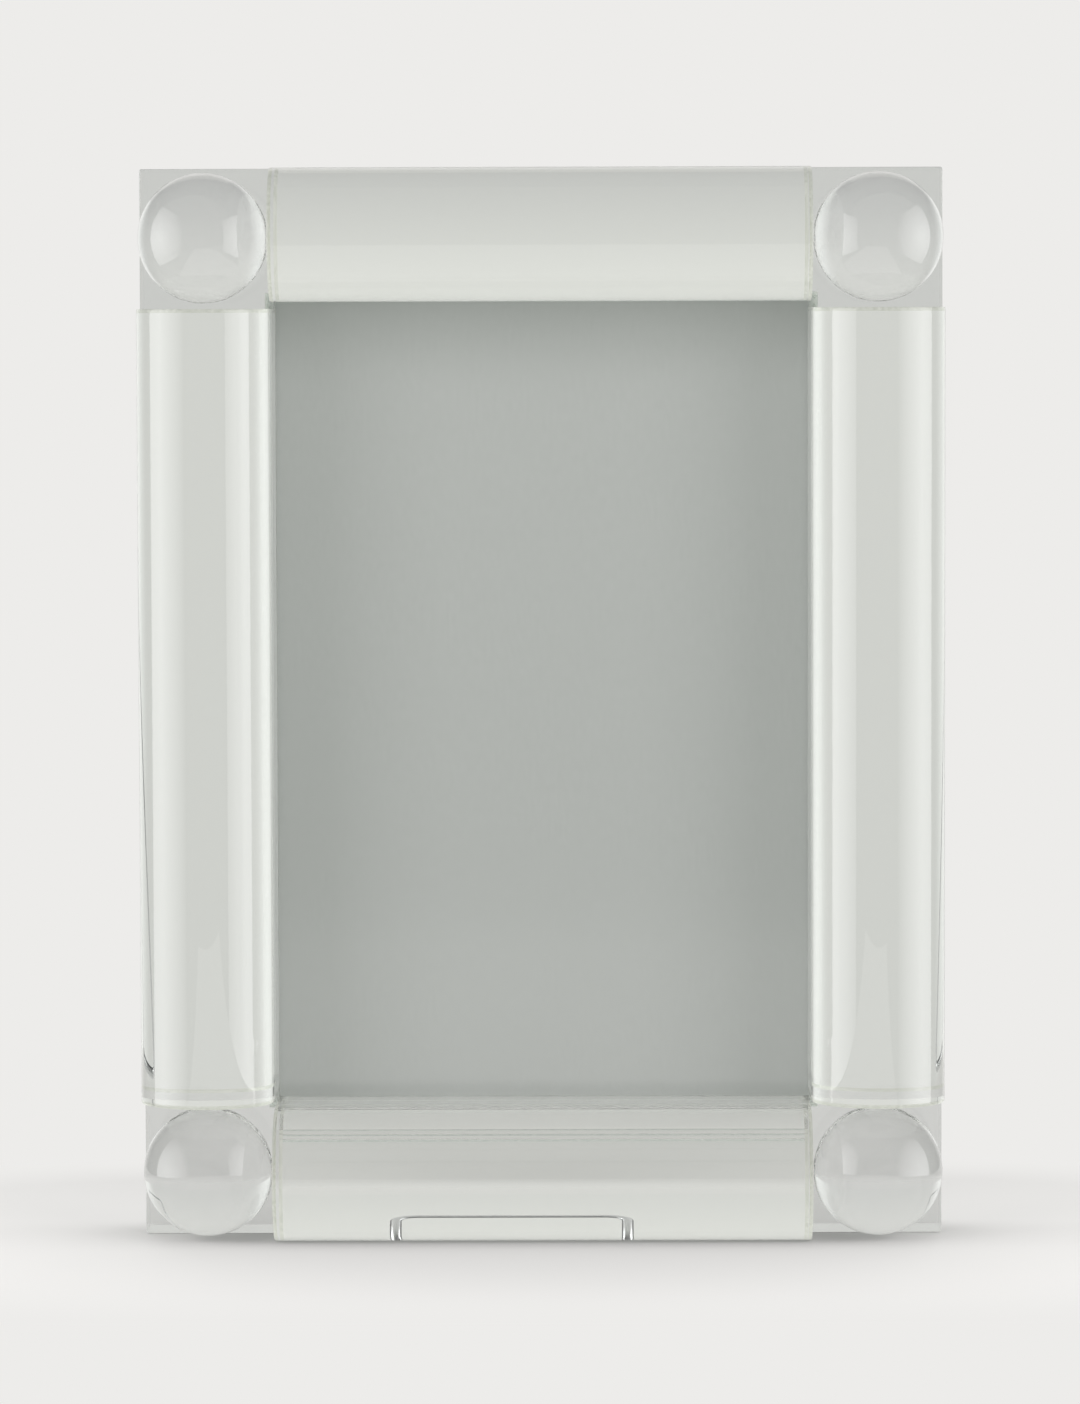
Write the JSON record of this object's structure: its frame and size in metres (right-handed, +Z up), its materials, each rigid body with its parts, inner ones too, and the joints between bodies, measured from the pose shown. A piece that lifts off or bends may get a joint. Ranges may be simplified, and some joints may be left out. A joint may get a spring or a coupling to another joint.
{
  "type": "crystal picture frame",
  "caption": "Tabletop picture frame of round-fronted clear glass bars, square corner blocks and glass balls, with turn latches and a wire easel leg on its back.",
  "frame": {"origin": "on the flat underside of the bottom bar, in the middle of the frame's width and level with the front faces of the corner blocks", "axes": "+X to the right seen from the front, +Y from the front to the back, +Z up"},
  "size_m": [0.1526, 0.1024, 0.2034],
  "materials": {
    "crystal": "polished clear crystal",
    "cover_glass": "polished clear sheet",
    "insert_card": "satin printed grey",
    "board_cloth": "grey flocked cloth over board",
    "bright_steel": "nickel plated",
    "wire_chrome": "polished chrome"
  },
  "bodies": {
    "frame": {"corner_block_top_left": "crystal", "corner_block_top_right": "crystal", "corner_block_bottom_left": "crystal", "corner_block_bottom_right": "crystal", "corner_ball_top_left": "crystal", "corner_ball_top_right": "crystal", "corner_ball_bottom_left": "crystal", "corner_ball_bottom_right": "crystal", "bar_top": "crystal", "bar_bottom": "crystal", "bar_left": "crystal", "bar_right": "crystal", "cover_glass": "cover_glass", "photo_card": "insert_card", "backing_board": "board_cloth", "latch_screw_lower_left": "bright_steel", "latch_screw_upper_left": "bright_steel", "latch_screw_lower_right": "bright_steel", "latch_screw_upper_right": "bright_steel", "hinge_plate": "bright_steel", "hinge_rivet_1": "bright_steel", "hinge_rivet_2": "bright_steel", "hinge_rivet_3": "bright_steel", "hinge_rivet_4": "bright_steel"},
    "easel": {"easel_leg": "wire_chrome"},
    "latch_lower_left": {"turn_latch_lower_left": "bright_steel"},
    "latch_upper_left": {"turn_latch_upper_left": "bright_steel"},
    "latch_lower_right": {"turn_latch_lower_right": "bright_steel"},
    "latch_upper_right": {"turn_latch_upper_right": "bright_steel"}
  },
  "joints": [
    {"name": "easel_fold", "type": "hinge", "parent": "frame", "child": "easel", "pos_m": [-0.007, 0.0185, 0.136], "axis": [1, 0, 0], "range_deg": [-28, 0]},
    {"name": "latch_turn_lower_left", "type": "hinge", "parent": "frame", "child": "latch_lower_left", "pos_m": [-0.04545, 0.0155, 0.0497], "axis": [0, 1, 0], "range_deg": [-90, 90]},
    {"name": "latch_turn_upper_left", "type": "hinge", "parent": "frame", "child": "latch_upper_left", "pos_m": [-0.04545, 0.0155, 0.1537], "axis": [0, 1, 0], "range_deg": [-90, 90]},
    {"name": "latch_turn_lower_right", "type": "hinge", "parent": "frame", "child": "latch_lower_right", "pos_m": [0.04545, 0.0155, 0.0497], "axis": [0, 1, 0], "range_deg": [-90, 90]},
    {"name": "latch_turn_upper_right", "type": "hinge", "parent": "frame", "child": "latch_upper_right", "pos_m": [0.04545, 0.0155, 0.1537], "axis": [0, 1, 0], "range_deg": [-90, 90]}
  ]
}
